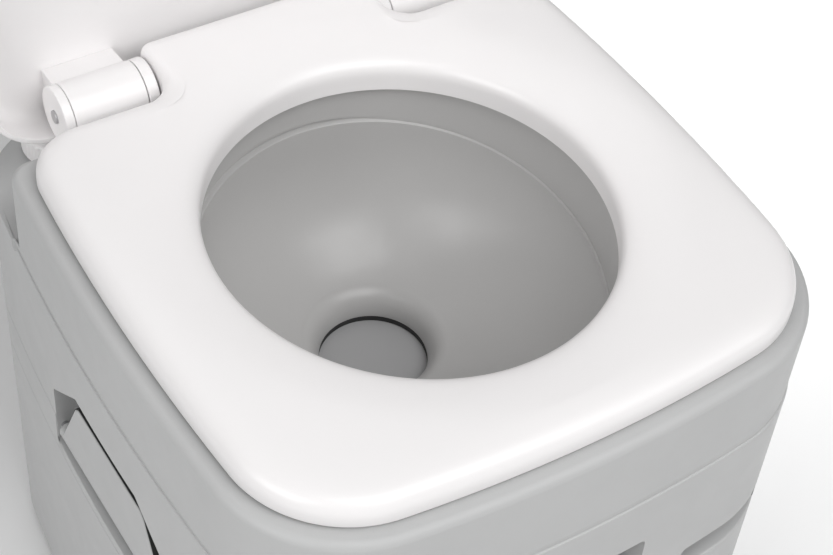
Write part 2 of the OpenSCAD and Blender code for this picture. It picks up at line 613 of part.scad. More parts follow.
module lid() color(seat_white) swung_open() difference() {
    capped_skin([
        lid_ring(-16, 0.1, lid_top - 3.4), lid_ring(-16, 0.6, lid_top - 3.8), lid_ring(-12, 1, lid_top - 5.4),
        lid_ring(-6, 1, lid_top - 8), lid_ring(-3.2, 1, lid_top - 14), lid_ring(-3.2, 1, seat_z + 1),
        lid_ring(0, 1, seat_z + 1), lid_ring(0, 1, lid_top - 12), lid_ring(-3, 1, lid_top - 5),
        lid_ring(-10, 1, lid_top - 1.8), lid_ring(-16, 0.6, lid_top - 0.4), lid_ring(-16, 0.1, lid_top)]);
    box([-tab_room[0], lid_rear - 10, seat_z], [tab_room[0], lid_rear + 10, tab_room[1]]);
}
module lid_hinges() color(seat_white) swung_open() both_sides() difference() {
    union() {
        along_x([82.1, hinge_y, hinge_z], knuckle_r, 44.8);
        box([82.1, hinge_y - 12, hinge_z], [126.9, hinge_y + 7, lid_top - 4.6]);
    }
    along_x([70, hinge_y, hinge_z], pin_r + fit, 70);
}
module lid_buffers() color(rubber_black) swung_open() for (x = [-1, 1], y = [-150, 60])
    translate([x * 138, y, seat_z + seat_h + 0.4]) cylinder(lid_top - 4.4 - seat_z - seat_h - 0.4, r = 7);

tank_tub();
tank_top();
tank_feet();
valve_housing();
valve_cover();
valve_seal();
valve_screws();
valve_blade();
pull_grip();
spout_neck();
spout();
spout_oring();
spout_gasket();
spout_cap();
vent_bush();
vent_button();
vent_oring();
vent_spring();
level_lens();
float_bracket();
float_arm();
float_ball();
carry_handle();
handle_pins();
latch_left();
latch_right();
latch_pins();
upper_shell();
base_plate();
bowl();
latch_keepers();
hinge_brackets();
hinge_pins();
bracket_screws();
pump_body();
foot_valve();
pump_spring();
pump_rod();
pump_piston();
piston_seal();
pump_knob();
flush_hose();
spray_nozzle();
filler_neck();
filler_gasket();
filler_cap();
water_gauge();
seat();
seat_hinges();
seat_buffers();
lid();
lid_hinges();
lid_buffers();
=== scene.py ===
"""Cassette toilet: finished surfaces, materials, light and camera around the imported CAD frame.

Lengths are millimetres in the CAD's frame until mesh_object() turns them into metres.
"""
import json
import math

import bmesh
import bpy
import numpy as np
from mathutils import Matrix, Vector


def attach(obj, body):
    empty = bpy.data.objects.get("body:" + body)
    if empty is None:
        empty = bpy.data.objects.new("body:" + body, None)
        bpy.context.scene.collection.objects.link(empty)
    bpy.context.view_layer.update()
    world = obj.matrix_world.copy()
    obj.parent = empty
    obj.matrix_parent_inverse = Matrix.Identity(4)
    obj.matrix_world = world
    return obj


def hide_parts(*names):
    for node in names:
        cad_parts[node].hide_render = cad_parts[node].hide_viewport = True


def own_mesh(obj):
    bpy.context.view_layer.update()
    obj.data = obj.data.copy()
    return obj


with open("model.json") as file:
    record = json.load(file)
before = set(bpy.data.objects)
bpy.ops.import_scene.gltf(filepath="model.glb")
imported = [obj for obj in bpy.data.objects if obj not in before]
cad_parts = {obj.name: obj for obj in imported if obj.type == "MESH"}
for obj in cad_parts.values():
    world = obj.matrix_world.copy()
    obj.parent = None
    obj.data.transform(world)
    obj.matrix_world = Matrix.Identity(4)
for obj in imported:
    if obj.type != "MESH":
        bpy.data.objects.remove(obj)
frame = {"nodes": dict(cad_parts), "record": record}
record = frame["record"]
scene = bpy.context.scene
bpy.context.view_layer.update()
body_of = {n: b for b, nodes in record["behaviour"]["bodies"].items() for n in nodes}
slot_of = {s["node"]: s["material_slot"] for s in record["subparts"]}


# ---- Mesh helpers ----

def mesh_object(name, points, faces):
    mesh = bpy.data.meshes.new(name)
    mesh.from_pydata((np.asarray(points) * 0.001).tolist(), [], faces)
    obj = bpy.data.objects.new(name, mesh)
    scene.collection.objects.link(obj)
    edit(obj, lambda bm: bmesh.ops.recalc_face_normals(bm, faces=bm.faces))
    return obj


def edit(obj, change):
    bm = bmesh.new()
    bm.from_mesh(obj.data)
    change(bm)
    bm.to_mesh(obj.data)
    bm.free()


def bake(obj):
    """Applies the object's modifiers."""
    depsgraph = bpy.context.evaluated_depsgraph_get()
    mesh = bpy.data.meshes.new_from_object(obj.evaluated_get(depsgraph))
    obj.modifiers.clear()
    old, obj.data = obj.data, mesh
    bpy.data.meshes.remove(old)
    return obj


def skin(name, rings, loop=False):
    """Quads between rings of points: a closed ring of rings, or a stack with a flat face at each end."""
    n, m = len(rings[0]), len(rings)
    faces = []
    for j in range(m if loop else m - 1):
        a, b = j * n, (j + 1) % m * n
        faces += [(a + i, a + (i + 1) % n, b + (i + 1) % n, b + i) for i in range(n)]
    if not loop:
        faces += [tuple(range(n))[::-1], tuple(range((m - 1) * n, m * n))]
    return mesh_object(name, np.concatenate(rings), faces)


def cut(obj, *tools):
    for tool in tools:
        modifier = obj.modifiers.new("cut", "BOOLEAN")
        modifier.operation = "DIFFERENCE"
        modifier.solver = "EXACT"
        modifier.object = tool
    bake(obj)
    for tool in tools:
        mesh = tool.data
        bpy.data.objects.remove(tool)
        bpy.data.meshes.remove(mesh)
    return obj


def soften(obj, width, weight=None, angle=32, segments=3):
    """Rounds the edges that are sharper than angle. weight(middle) gives each edge its share of width."""
    def mark(bm):
        layer = bm.edges.layers.float.new("bevel_weight_edge")
        for e in bm.edges:
            if len(e.link_faces) == 2 and e.calc_face_angle(0) > math.radians(angle):
                e[layer] = 1.0 if weight is None else weight((e.verts[0].co + e.verts[1].co) * 500)
    edit(obj, mark)
    modifier = obj.modifiers.new("soften", "BEVEL")
    modifier.limit_method = "WEIGHT"
    modifier.width = width * 0.001
    modifier.segments = segments
    modifier.use_clamp_overlap = False
    return bake(obj)


def smooth(obj, angle=35):
    obj.data.shade_smooth()
    obj.data.set_sharp_from_angle(angle=math.radians(angle))
    modifier = obj.modifiers.new("normals", "WEIGHTED_NORMAL")
    modifier.keep_sharp = True
    modifier.weight = 60
    return bake(obj)


def block(lo, hi, r=0.0):
    """A box to cut with, its edges rounded."""
    (x0, y0, z0), (x1, y1, z1) = lo, hi
    ring = [(x0, y0), (x1, y0), (x1, y1), (x0, y1)]
    obj = skin("tool", [[(x, y, z) for x, y in ring] for z in (z0, z1)])
    return soften(obj, r, segments=4) if r else obj


def prism(points, x0, x1, r=0.0):
    """A polygon in the YZ plane, drawn out along X, to cut with."""
    obj = skin("tool", [[(x, y, z) for y, z in points] for x in (x0, x1)])
    return soften(obj, r, angle=20, segments=4) if r else obj


AXES = {"x": ((0, 1, 0), (0, 0, 1), (1, 0, 0)), "y": ((0, 0, 1), (1, 0, 0), (0, 1, 0)),
        "z": ((1, 0, 0), (0, 1, 0), (0, 0, 1))}


def turned(name, profile, at=(0, 0, 0), axis="z", n=96, loop=False, shape=None):
    """A turned piece: (radius, height) pairs round an axis. shape(angle, row) adds to a row's radius."""
    u, v, w = (np.array(a, float) for a in AXES[axis])
    angles = np.arange(n) * 2 * math.pi / n
    rings = []
    for row, (r, h) in enumerate(profile):
        radius = (r + (shape(angles, row) if shape else 0) * np.ones(n))[:, None]
        direction = np.cos(angles)[:, None] * u + np.sin(angles)[:, None] * v
        rings.append(np.array(at) + radius * direction + h * w)
    return skin(name, rings, loop)


def drill(at, axis, r, length, n=64):
    return turned("tool", [(r, 0), (r, length)], at, axis, n)


def filleted(corners, steps=5):
    """A line through (a, b, radius) corners with each corner rounded."""
    line = []
    for i, (a, b, r) in enumerate(corners):
        p = np.array([a, b], float)
        if r == 0 or i in (0, len(corners) - 1):
            line.append(tuple(p))
            continue
        before, after = np.array(corners[i - 1][:2], float) - p, np.array(corners[i + 1][:2], float) - p
        before, after = before / np.linalg.norm(before), after / np.linalg.norm(after)
        half = math.acos(max(-1, min(1, float(before @ after)))) / 2
        reach = r / math.tan(half)
        middle = p + (before + after) / np.linalg.norm(before + after) * r / math.sin(half)
        s, e = p + before * reach - middle, p + after * reach - middle
        turn = math.atan2(s[0] * e[1] - s[1] * e[0], float(s @ e))
        for k in range(steps + 1):
            t = turn * k / steps
            line.append((middle[0] + s[0] * math.cos(t) - s[1] * math.sin(t),
                         middle[1] + s[0] * math.sin(t) + s[1] * math.cos(t)))
    return line


def spline(rings, steps, closed):
    """Rings on the cubic B-spline that the given rings control."""
    m, out = len(rings), []
    at = (lambda k: rings[k % m]) if closed else (lambda k: rings[max(0, min(m - 1, k))])
    for k in range(m if closed else m + 1):
        a, b, c, d = (at(k + j - (1 if closed else 2)) for j in range(4))
        for t in np.arange(steps) / steps:
            out.append(((1 - t) ** 3 * a + (3 * t ** 3 - 6 * t * t + 4) * b
                        + (-3 * t ** 3 + 3 * t * t + 3 * t + 1) * c + t ** 3 * d) / 6)
    if not closed:
        out.append(at(m).copy())
    return out


# ---- Outlines of the body, the seat and the lid: points and outward directions ----

HALF_W, FRONT, REAR = 181.9, 207.3, 207.5      # the body above its step
MID_Y = -17.4                                  # the sides' arcs are widest here
SIDE_R, FRONT_R, BACK_R, FRONT_CORNER, REAR_CORNER = 1374, 954, 3000, 77.7, 60
BLOCK_BACK, BLOCK_CORNER = 118, 14             # back of the raised part that carries the seat
STEP_OUT = 1                                   # how far the lower body stands out beyond the raised part
WALL = 3
BASE_Z, PART_Z, DECK_Z, RIM_Z = 6, 222, 318, 378   # tank's underside, tanks' joint, rear deck, seat's rim
GAP = 0.3                                      # between the two tanks
SEAM_Z = 190                                   # between the waste tank's tub and its top
HOLE_Y = -23.5                                 # middle of the seat's hole and the bowl's collar
COLLAR_W, COLLAR_L = 118.6, 123.6              # half width and half length of the bowl's collar
SEAT_Z = 380
HINGE = (0, 0.146, 0.374)                      # axis of the seat and the lid, in metres
LID_OPEN = 98
PUMP = (118, 180)                              # the filler stands at the same place on the left
VENT = (120, 150)
SPOUT = (-110, 183, 149)                       # swivel axis, and height of the spout's arm


def arc(c, r, a, b, n):
    t = np.radians(a + (b - a) * np.arange(1, n + 1) / n)
    d = np.column_stack([np.cos(t), np.sin(t)])
    return np.array(c) + r * d, d * math.copysign(1, r)


def straight(p, q, n):
    p, q = np.array(p, float), np.array(q, float)
    d = (q - p) / np.linalg.norm(q - p)
    t = (np.arange(1, n + 1) / n)[:, None]
    return p + t * (q - p), np.tile([d[1], -d[0]], (n, 1))


def meet(c1, r1, c2, r2):
    c1, c2 = np.array(c1, float), np.array(c2, float)
    d = np.linalg.norm(c2 - c1)
    u = (c2 - c1) / d
    a = (r1 * r1 - r2 * r2 + d * d) / (2 * d)
    return c1 + a * u + math.sqrt(r1 * r1 - a * a) * np.array([-u[1], u[0]])


def heading(v):
    return math.degrees(math.atan2(v[1], v[0]))


class Outline:
    """A closed line from its right half, given as pieces that run from front to back."""

    def __init__(self, front, pieces):
        p = np.concatenate([[[0, -front]]] + [piece[0] for piece in pieces])
        d = np.concatenate([[[0, -1.0]]] + [piece[1] for piece in pieces])
        self.p = np.concatenate([p, p[-2:0:-1] * [-1, 1]])
        self.d = np.concatenate([d, d[-2:0:-1] * [-1, 1]])

    def ring(self, off, z):
        """The outline moved out by off, at height z; both may differ from point to point."""
        off, z = np.broadcast_to(off, len(self.p)), np.broadcast_to(z, len(self.p))
        return np.column_stack([self.p + off[:, None] * self.d, z])


side_c, front_c = np.array([HALF_W - SIDE_R, MID_Y]), np.array([0, FRONT_R - FRONT])
front_k = meet(front_c, FRONT_R - FRONT_CORNER, side_c, SIDE_R - FRONT_CORNER)
A_FRONT, A_SIDE = heading(front_k - front_c), heading(front_k - side_c)


def front_pieces(off=0, steps=(9, 22)):
    return [arc(front_c, FRONT_R + off, -90, A_FRONT, steps[0]),
            arc(front_k, FRONT_CORNER + off, A_FRONT, A_SIDE, steps[1])]


def body_outlines():
    """The lower body and the raised part in front of the deck, which share their front and side points."""
    rear_c = np.array([0, REAR - BACK_R])
    rear_k = meet(side_c, SIDE_R - REAR_CORNER, rear_c, BACK_R - REAR_CORNER)
    a3, a4 = heading(rear_k - side_c), heading(rear_k - rear_c)
    reach, ky = SIDE_R - BLOCK_CORNER, BLOCK_BACK - BLOCK_CORNER
    block_k = np.array([side_c[0] + math.sqrt(reach ** 2 - (ky - MID_Y) ** 2), ky])
    ab = heading(block_k - side_c)
    common = front_pieces() + [arc(side_c, SIDE_R, A_SIDE, ab, 18)]
    low = Outline(FRONT, common + [
        arc(side_c, SIDE_R, ab, a3, 6), arc(rear_k, REAR_CORNER, a3, a4, 20), arc(rear_c, BACK_R, a4, 90, 9)])
    high = Outline(FRONT, common + [
        arc(block_k, BLOCK_CORNER, ab, 90, 25), straight((block_k[0], BLOCK_BACK), (0, BLOCK_BACK), 10)])
    return low, high


def seat_outline(off=-9.9):
    """The seat's edge with the hinge notches and the rear tab."""
    corner, fillet, tab, tab_corner, notch, tab_rear = 30, 19.1, 73.4, 6, 115.2, 162.6
    reach, ky = SIDE_R + off - corner, notch - corner
    k = np.array([side_c[0] + math.sqrt(reach ** 2 - (ky - MID_Y) ** 2), ky])
    turn = heading(k - side_c)
    return Outline(FRONT + off, front_pieces(off, (20, 34)) + [
        arc(side_c, SIDE_R + off, A_SIDE, turn, 26), arc(k, corner, turn, 90, 16),
        straight((k[0], notch), (tab + fillet, notch), 10),
        arc((tab + fillet, notch + fillet), -fillet, 90, 0, 16),
        straight((tab, notch + fillet), (tab, tab_rear - tab_corner), 8),
        arc((tab - tab_corner, tab_rear - tab_corner), tab_corner, 0, 90, 8),
        straight((tab - tab_corner, tab_rear), (0, tab_rear), 20)])


def lid_outline():
    inset, rear, corner = 3, 170.5, 40
    rear_c = np.array([0, rear - BACK_R])
    k = meet(side_c, SIDE_R - inset - corner, rear_c, BACK_R - corner)
    a, b = heading(k - side_c), heading(k - rear_c)
    return Outline(FRONT - inset, front_pieces(-inset, (14, 28)) + [
        arc(side_c, SIDE_R - inset, A_SIDE, a, 26), arc(k, corner, a, b, 18), arc(rear_c, BACK_R, b, 90, 12)])


low, high = body_outlines()


def blend_ring(s, off, z):
    """A ring that lies s of the way from the lower body's outline to the raised part's."""
    s = np.broadcast_to(s, len(low.p))[:, None]
    p, d = low.p + s * (high.p - low.p), low.d + s * (high.d - low.d)
    d = d / np.linalg.norm(d, axis=1)[:, None]
    off, z = np.broadcast_to(off, len(p)), np.broadcast_to(z, len(p))
    return np.column_stack([p + off[:, None] * d, z])


def outward(p):
    """How far a point lies outside the lower body's outline."""
    return float(np.max(np.sum(([p.x, p.y] - low.p) * low.d, axis=1)))


def quarter(n):
    return [math.pi / 2 * k / n for k in range(n + 1)]


def ease(t):
    return t * t * (3 - 2 * t)


# ---- Body ----

GRIP_HALF = 44                                 # half width of the recess over the valve's grip
LATCH_MID_Y = -12


def mirrored(half):
    """(y, z) points in front of the latches' middle, followed by their mirror images behind it."""
    return list(half) + [(2 * LATCH_MID_Y - y, z) for y, z in half[::-1]]


def grip_recess(g):
    return block((-GRIP_HALF - g, -240, 200), (GRIP_HALF + g, -172 + g, 280 + g), 4 if g == 0 else 0)


def hand_notch(side):
    return block((min(side * 78, side * 150), -240, 200), (max(side * 78, side * 150), -150, 242.5), 4)


def latch_pocket(side, g):
    """The opening round a latch lever, its wall moved out by g."""
    face = mirrored([(-88 - g, 200), (-88 - g, 247 + g), (-50, 279 + g)])
    return prism(face, side * (158.5 - g), side * 230, 1.5 if g == 0 else 0)


def latch_recess(side, g):
    back, front = side * (168 - g), side * 240
    return block((min(back, front), -90 - g, 198 - g), (max(back, front), 66 + g, 260))


def oval_tool(a, b, z0, z1, flare):
    """An oval drill whose top widens by flare."""
    t = np.arange(144) * 2 * math.pi / 144
    bend = [(flare * (1 - math.cos(q)), z1 - flare + flare * math.sin(q)) for q in quarter(5)[1:]]
    rows = [(0, z0), (0, z1 - flare)] + bend + [(bend[-1][0], z1 + 5)]
    return skin("tool", [np.column_stack([(a + g) * np.cos(t), HOLE_Y + (b + g) * np.sin(t), np.full(144, z)])
                         for g, z in rows])


def deck_share():
    """For each point of the lower outline: 0 on the front and sides, 1 along the rear deck, eased between."""
    n = len(low.p)
    start, tail = 50, n // 2 - 49                          # the first point past the raised part's corner
    fade = np.clip((np.arange(tail) + 1) / 6, 0, 1)
    share = np.zeros(n)
    share[start:start + tail] = ease(fade)
    right = np.arange(1, n // 2)
    share[n - right] = share[right]
    return share


def make_upper_shell():
    share = deck_share()
    lift = 1 - share
    bottom, lip = PART_Z + GAP, 1.5
    rings = [low.ring(STEP_OUT - lip + lip * math.sin(q), bottom + lip - lip * math.cos(q))
             for q in quarter(4)]
    rings += [low.ring(STEP_OUT, z) for z in (236, 270, 312)] + [low.ring(STEP_OUT, DECK_Z - 1.2 + lift)]
    # The step's rounded edge, then the deck or the ledge, then the raised part's foot
    rings += [low.ring(STEP_OUT - 0.7 * (1 - math.cos(q)), DECK_Z - 1.1 + lift + 1.1 * math.sin(q))
              for q in quarter(3)[1:]]
    for s in (0, 0.12, 0.5, 0.88):
        rings.append(blend_ring(s * share, -0.1 * s * lift - 2.0 * share * (1 - s), DECK_Z + lift))
    foot = 3 * share
    for k, (q, dip) in enumerate(zip(quarter(4), (0.3, 0.3, 0.2, 0.1, 0))):
        rings.append(blend_ring(share, foot * (1 - math.sin(q)) - dip * lift,
                                DECK_Z + lift + foot * (1 - math.cos(q)) + 0.6 * (k + 1) * lift))
    shoulder = 5
    rings += [high.ring(0, z) for z in (324, 345, 364, RIM_Z - shoulder)]
    rings += [high.ring(shoulder * (math.cos(q) - 1), RIM_Z - shoulder + shoulder * math.sin(q))
              for q in quarter(6)[1:]]
    rings.append(high.ring(-11, RIM_Z))
    shell = skin("upper_shell_skin", rings)
    cut(shell, grip_recess(0), latch_pocket(1, 0), latch_pocket(-1, 0), hand_notch(1), hand_notch(-1))
    hollow_low = skin("tool", [low.ring(STEP_OUT - WALL, 200), low.ring(STEP_OUT - WALL, DECK_Z - WALL)])
    hollow_high = skin("tool", [high.ring(-WALL, 300), high.ring(-WALL, 367), high.ring(-10, RIM_Z - WALL)])
    for tool in (hollow_low, hollow_high):
        grip_room = block((-GRIP_HALF - WALL, -240, 240.5), (GRIP_HALF + WALL, -169, 283))
        cut(tool, grip_room, latch_pocket(1, WALL), latch_pocket(-1, WALL))
    cut(shell, hollow_low)
    cut(shell, hollow_high)
    cut(shell, oval_tool(COLLAR_W + 0.7, COLLAR_L + 0.7, 360, RIM_Z, 3), drill((*PUMP, 300), "z", 21.9, 40),
        drill((-PUMP[0], PUMP[1], 300), "z", 21.2, 40), block((-66, 190, 250), (-54, 230, 306), 1))

    def weight(p):
        if p.z > DECK_Z - 2 or p.z < PART_Z + 1.5 or outward(p) < -1:
            return 0.0
        if p.y < -203 and abs(abs(p.x) - GRIP_HALF) < 1.5 and p.z < 276:
            return 1.0                                     # the recess's upright mouth edges
        if abs(p.x) > 160 and p.z > 246 and (p.y < -50 or p.y > 26):
            return 0.12                                    # the pockets' crisp slanted edges
        return 0.3
    return smooth(soften(shell, 3.2, weight))


def make_tank_tub():
    sole, lip, inner = 8, 1.2, STEP_OUT - WALL
    rings = [low.ring(-12, BASE_Z)]
    rings += [low.ring(STEP_OUT - sole + sole * math.sin(q), BASE_Z + sole - sole * math.cos(q))
              for q in quarter(7)]
    rings += [low.ring(STEP_OUT, z) for z in (24, 80, 150, 186)]
    rings += [low.ring(STEP_OUT - lip * (1 - math.cos(q)), SEAM_Z - lip + lip * math.sin(q))
              for q in quarter(3)]
    rings.append(low.ring(-1, SEAM_Z))
    tub = skin("tank_tub_skin", rings)
    cut(tub, block((-150, 154, 118), (62, 230, 180), 5),   # the spout's bay
        block((-70, -240, 62), (70, -187, 134), 6),        # the handle's recess
        drill((-85, -230, 150), "y", 11, 60))              # the level window
    soften(tub, 2, lambda p: 0.0 if p.z < 20 or p.z > 185 else 1.0)
    hollow = skin("tool", [low.ring(inner, BASE_Z + WALL), low.ring(inner, 200)])
    cut(hollow, block((-153, 151, 115), (65, 230, 183)), block((-73, -240, 59), (73, -184, 137)))
    cut(tub, hollow, drill((*SPOUT[:2], 100), "z", 25.7, 30), drill((66.5, -198, 122), "x", 3, 10),
        drill((-76.5, -198, 122), "x", 3, 10))
    return smooth(tub)


def make_tank_top():
    lip, edge = 1.2, 1.5
    rings = [low.ring(-1, SEAM_Z)]
    rings += [low.ring(STEP_OUT - lip * (1 - math.sin(q)), SEAM_Z + lip - lip * math.cos(q))
              for q in quarter(3)]
    rings += [low.ring(STEP_OUT, 200), low.ring(STEP_OUT, 216)]
    rings += [low.ring(STEP_OUT - edge * (1 - math.cos(q)), PART_Z - edge + edge * math.sin(q))
              for q in quarter(4)]
    rings.append(low.ring(-3, PART_Z))
    top = skin("tank_top_skin", rings)
    cut(top, latch_recess(1, 0), latch_recess(-1, 0))
    soften(top, 1, lambda p: 0.0 if p.z < SEAM_Z + 3 else 0.6)
    hollow = skin("tool", [low.ring(STEP_OUT - WALL, 180), low.ring(STEP_OUT - WALL, PART_Z - WALL)])
    cut(hollow, latch_recess(1, WALL), latch_recess(-1, WALL))
    cut(top, hollow, drill((0, THROAT_Y, 180), "z", 36, 60), drill((*VENT, 180), "z", 8.2, 60))
    return smooth(top)


# ---- Bowl ----

THROAT_R, THROAT_Y, THROAT_Z = 33, 2, 240
FLARE_R, FLARE_Z = 46, 257                     # where the dish turns into the throat's flare
LEDGE_Z, LEDGE_W = 344, 1.4
FALL_FROM, FALL_TURN, FALL, CLIMB_TURN = 100, 145, 39, 135   # the ledge's way down and up, as in the CAD


def make_bowl():
    n = 192
    angle = np.arange(n) * 360 / n
    c, s = np.cos(np.radians(angle)), np.sin(np.radians(angle))
    turn = (360 + FALL_FROM - angle) % 360                 # clockwise from where the ledge starts to fall
    climb = FALL * (1 - ease((turn - FALL_TURN) / CLIMB_TURN))
    fall = np.where(turn < FALL_TURN, FALL * (turn / FALL_TURN) ** 2,
                    np.where(turn < FALL_TURN + CLIMB_TURN, climb, 0))
    ledge = LEDGE_Z - fall
    # The groove under the collar: it opens left of the rear and grows towards the left
    opened = ease(np.clip((angle - 62) / 25, 0, 1)) * ease(np.clip((262 - angle) / 60, 0, 1))
    grown = 1.6 + 2.6 * np.clip((angle - 80) / 60, 0, 1) + 3.0 * ease(np.clip((angle - 135) / 25, 0, 1))
    deep = 2.3 * opened
    top = ledge + (0.5 + opened * grown) + 1.4

    def ring(a, b, y, z):
        return np.column_stack([a * c, y + b * s, np.broadcast_to(z, n)])

    def collar(out, z):
        return ring(COLLAR_W + out, COLLAR_L + out, HOLE_Y, z)

    def dish(t, g):
        f, m = math.sin(math.pi / 2 * t) ** 0.8, ease(t)
        half_w, half_l = (FLARE_R + (half - LEDGE_W - FLARE_R) * f + g for half in (COLLAR_W, COLLAR_L))
        return ring(half_w, half_l, THROAT_Y + (HOLE_Y - THROAT_Y) * m,
                    FLARE_Z + (LEDGE_Z - FLARE_Z) * t - t * fall)

    def flare(t, g):
        r = THROAT_R + (FLARE_R - THROAT_R) * (1 - math.cos(math.pi / 2 * t)) + g
        return ring(r, r, THROAT_Y, THROAT_Z + (FLARE_Z - THROAT_Z) * math.sin(math.pi / 2 * t))

    rings = [collar(0.3, 375)] + [collar(0, 372 + (top + 1.0 - 372) * k / 7) for k in range(8)]
    # (share of the groove's depth, added radius, height): the groove and the ledge's rounded edge
    rings += [collar(g * deep + e, z) for g, e, z in (
        (0, 0.0, top + 0.3), (0.04, 0.1, top), (0.3, 0.1, top - 0.25), (0.9, 0.1, top - 0.5),
        (1, 0.0, top - 0.9), (1, 0, ledge + 1.2), (0.85, 0, ledge + 0.7), (0.25, -0.2, ledge + 0.55),
        (0, -0.7, ledge + 0.4))]
    rings += [dish(t, 0) for t in np.linspace(1, 0.0, 34)]
    rings += [flare(t, 0) for t in np.linspace(1, 0, 12)[1:]]
    rings += [ring(THROAT_R + g, THROAT_R + g, THROAT_Y, THROAT_Z - drop)
              for g, drop in ((0.25, 0.4), (0.9, 0.65), (2.1, 0.65), (2.8, 0.3))]
    rings += [flare(t, WALL) for t in np.linspace(0.1, 1, 6)]
    rings += [dish(t, WALL) for t in np.linspace(0, 1, 16)[1:]]
    rings += [collar(out, z) for out, z in ((3.2, ledge + 3), (3.2, 371.5), (9, 371.5), (9, 375))]
    return smooth(skin("bowl_skin", rings, loop=True), 50)


# ---- Seat and lid ----

HOLE_W, HOLE_L = 113, 118                      # half width and half length of the seat's hole

def make_seat():
    edge = seat_outline()
    away = edge.p - [0, HOLE_Y]
    t = np.arctan2(away[:, 1], away[:, 0])
    r = 1 / np.sqrt((np.cos(t) / HOLE_W) ** 2 + (np.sin(t) / HOLE_L) ** 2)
    hole = np.column_stack([r * np.cos(t), HOLE_Y + r * np.sin(t)])
    u = (edge.p - hole) / np.linalg.norm(edge.p - hole, axis=1)[:, None]
    # The section: side it is measured from (0 hole, 1 edge), distance from it, height over the seat's foot
    section = [(0, 0, -8.8), (0, 0, -8.8), (0, 0, -7.4), (0, 0, -3), (0, 0, 1.2), (0, 0.3, 4.6), (0, 2, 8.2),
               (0, 6.4, 11.2), (0, 14, 13.4), (0, 26, 15.6), (0, 36, 16.8), (1, 18, 17.2), (1, 10, 16.6),
               (1, 4.6, 15), (1, 1.2, 11.8), (1, 0, 7.6), (1, 0, 3), (1, 0, 1), (1, 0.1, 0.1), (1, 1.1, 0),
               (0, 4.5, 0), (0, 4.5, 0), (0, 4.3, -1), (0, 2.6, -8), (0, 2.5, -8.8), (0, 2.5, -8.8)]
    rings = []
    for side, d, z in section:
        p = hole + d * u if side == 0 else edge.p - d * u
        rings.append(np.column_stack([p, np.full(len(p), SEAT_Z + z)]))
    return smooth(skin("seat_skin", spline(rings, 3, closed=True), loop=True), 60)


def swung_open(obj):
    there, back = Matrix.Translation(HINGE), Matrix.Translation([-v for v in HINGE])
    obj.data.transform(there @ Matrix.Rotation(math.radians(-LID_OPEN), 4, "X") @ back)
    return obj


def make_lid():
    line = lid_outline()
    # The section of the closed lid, from its underside's middle to its top's: offset, scale, height
    section = [(-16, 0.06, 406.6), (-16, 0.3, 406.5), (-16, 0.6, 406.2), (-14, 0.9, 405.4), (-11, 1, 404.6),
               (-7, 1, 403.2), (-4, 1, 400.4), (-3.2, 1, 396), (-3.2, 1, 390), (-3.2, 1, 384),
               (-3.2, 1, 381.2), (-3.1, 1, 381), (-2, 1, 380.9), (-0.6, 1, 380.9), (0, 1, 381.4),
               (0, 1, 384), (0, 1, 391), (0, 1, 399), (-0.6, 1, 403), (-2.6, 1, 405.8), (-6, 1, 407.6),
               (-11, 1, 408.5), (-15, 0.85, 409.2), (-16, 0.5, 409.7), (-16, 0.2, 410), (-16, 0.06, 410)]
    rings = []
    for off, k, z in section:
        ring = line.ring(off, z)
        ring[:, :2] = [0, MID_Y] + (ring[:, :2] - [0, MID_Y]) * k
        rings.append(ring)
    lid = skin("lid_skin", spline(rings, 3, closed=False))
    cut(lid, block((-76, 160.5, 370), (76, 180.5, 388.5), 3))
    soften(lid, 0.8, lambda p: 1.0 if p.y > 160 and abs(p.x) < 77 and p.z < 390 else 0.0, angle=40)
    return swung_open(smooth(lid, 50))


# ---- Caps, knob and springs ----

def ribs(count, depth, rows):
    def shape(angles, row):
        wave = 0.5 + 0.5 * np.cos(angles * count)
        return -depth * wave ** 3 if row in rows else 0 * angles
    return shape


def screw_cap(name, at, axis, count, depth, under, line):
    """A cap with a ribbed wall: its underside's height, and its (radius, height, fillet) corners."""
    profile = [(0.5, under)] + filleted(line)
    skirt, top = line[2][1], line[3][1]
    wall = {i for i, (r, z) in enumerate(profile) if r > 23.2 and skirt + 0.4 < z < top - 1.5}
    return smooth(turned(name, profile, at, axis, n=count * 8, shape=ribs(count, depth, wall)), 40)


def make_filler_cap():
    line = [(21, 327.8, 0), (21, 320, 0.2), (23.5, 320, 0.6), (23.5, 335, 2.6), (13, 335, 1.2),
            (12, 333.6, 1.2), (0.5, 333.6, 0)]
    return screw_cap("filler_cap_skin", (-PUMP[0], PUMP[1], 0), "z", 30, 0.8, 327.8, line)


def make_spout_cap():
    line = [(20.5, 20.1, 0), (20.5, 4, 0.3), (23.5, 4, 0.8), (23.5, 24, 2.4), (12, 24, 1.0), (11, 22.8, 1.0),
            (0.5, 22.8, 0)]
    return screw_cap("spout_cap_skin", (0, *SPOUT[1:]), "x", 24, 0.9, 20.1, line)


def make_pump_knob():
    line = [(0.5, 339, 0), (15, 339, 1), (15, 319, 0.4), (18, 319, 0.6), (18, 343, 2.6), (15, 343, 1.2),
            (10, 341.8, 4), (0.5, 341.2, 0)]
    return smooth(turned("pump_knob_skin", filleted(line), (*PUMP, 0)), 40)


def coil(name, at, r, wire, z0, z1, turns):
    steps, n = int(turns * 28), 10
    a = 2 * math.pi * np.arange(n) / n
    rings = []
    for k in range(steps + 1):
        t = 2 * math.pi * turns * k / steps
        z = z0 + wire + (z1 - z0 - 2 * wire) * k / steps
        out, up = np.array([math.cos(t), math.sin(t), 0]), np.array([0, 0, 1.0])
        across = (r + wire * np.cos(a))[:, None] * out + (wire * np.sin(a))[:, None] * up
        rings.append(np.array([*at, z]) + across)
    return smooth(skin(name, rings), 60)


# ---- Every other CAD node: its own mesh, tidied and with its edges rounded ----

def area_of(mesh):
    mesh.calc_loop_triangles()
    return sum(t.area for t in mesh.loop_triangles)


